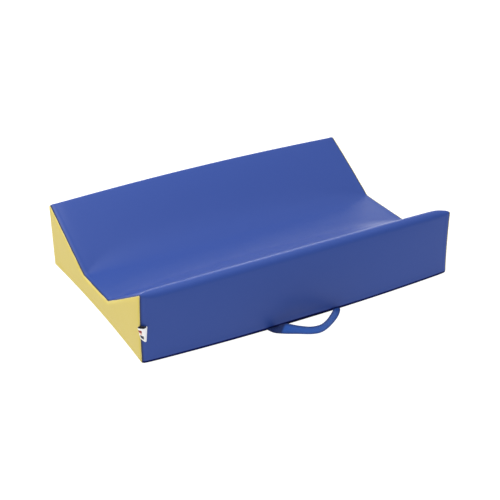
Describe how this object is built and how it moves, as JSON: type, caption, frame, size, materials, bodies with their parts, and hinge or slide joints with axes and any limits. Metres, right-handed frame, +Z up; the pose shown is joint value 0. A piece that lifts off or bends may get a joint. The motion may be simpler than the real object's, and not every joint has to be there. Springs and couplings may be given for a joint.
{
  "type": "contoured foam mat",
  "caption": "Low foam mat with two long wedge sides sloping down to a flat channel, in a zipped two-colour vinyl cover with a webbing carry handle.",
  "frame": {"origin": "middle of the underside, on the ground, halfway along the length and between the two end corners of the width", "axes": "+X along the length, -Y towards the long side with the handle, +Z up"},
  "size_m": [0.9007, 0.7003, 0.1918],
  "materials": {
    "blue_vinyl": "satin coated vinyl with a fine leather-like grain",
    "yellow_vinyl": "satin coated vinyl with a fine leather-like grain",
    "nonslip_cloth": "matt coated cloth with small raised dots",
    "foam": "cut open-cell foam",
    "webbing": "flat woven webbing",
    "zip_tape": "woven tape",
    "zip_teeth": "moulded coil",
    "zip_metal": "nickel plated",
    "thread": "bonded thread",
    "label_cloth": "satin ribbon with plain colour bars"
  },
  "bodies": {
    "mat": {"foam_base_slab": "foam", "foam_front_wedge": "foam", "foam_back_wedge": "foam", "cover_wrap_panel": "blue_vinyl", "cover_end_panel_left": "yellow_vinyl", "cover_end_panel_right": "yellow_vinyl", "cover_base_panel": "nonslip_cloth", "cover_hem_strip": "blue_vinyl", "zip_tape_upper": "zip_tape", "zip_tape_lower": "zip_tape", "zip_teeth_upper": "zip_teeth", "zip_teeth_lower": "zip_teeth", "zip_stop_left": "zip_metal", "zip_stop_right": "zip_metal", "handle_tail_left": "webbing", "handle_tail_right": "webbing", "handle_bartacks": "thread", "label_tag": "label_cloth"},
    "handle": {"handle_strap": "webbing"},
    "slider": {"zip_slider_body": "zip_metal"},
    "pull": {"zip_pull_tab": "zip_metal"}
  },
  "joints": [
    {"name": "handle_lift", "type": "hinge", "parent": "mat", "child": "handle", "pos_m": [-0.012, -0.3132, 0.0023], "axis": [-1, 0, 0], "range_deg": [0, 50]},
    {"name": "zip_run", "type": "slide", "parent": "mat", "child": "slider", "axis": [1, 0, 0], "range_m": [0, 0.8]},
    {"name": "zip_pull_flip", "type": "hinge", "parent": "slider", "child": "pull", "pos_m": [-0.404, 0.2993, 0.024], "axis": [0, 0, 1], "range_deg": [0, 175]}
  ]
}
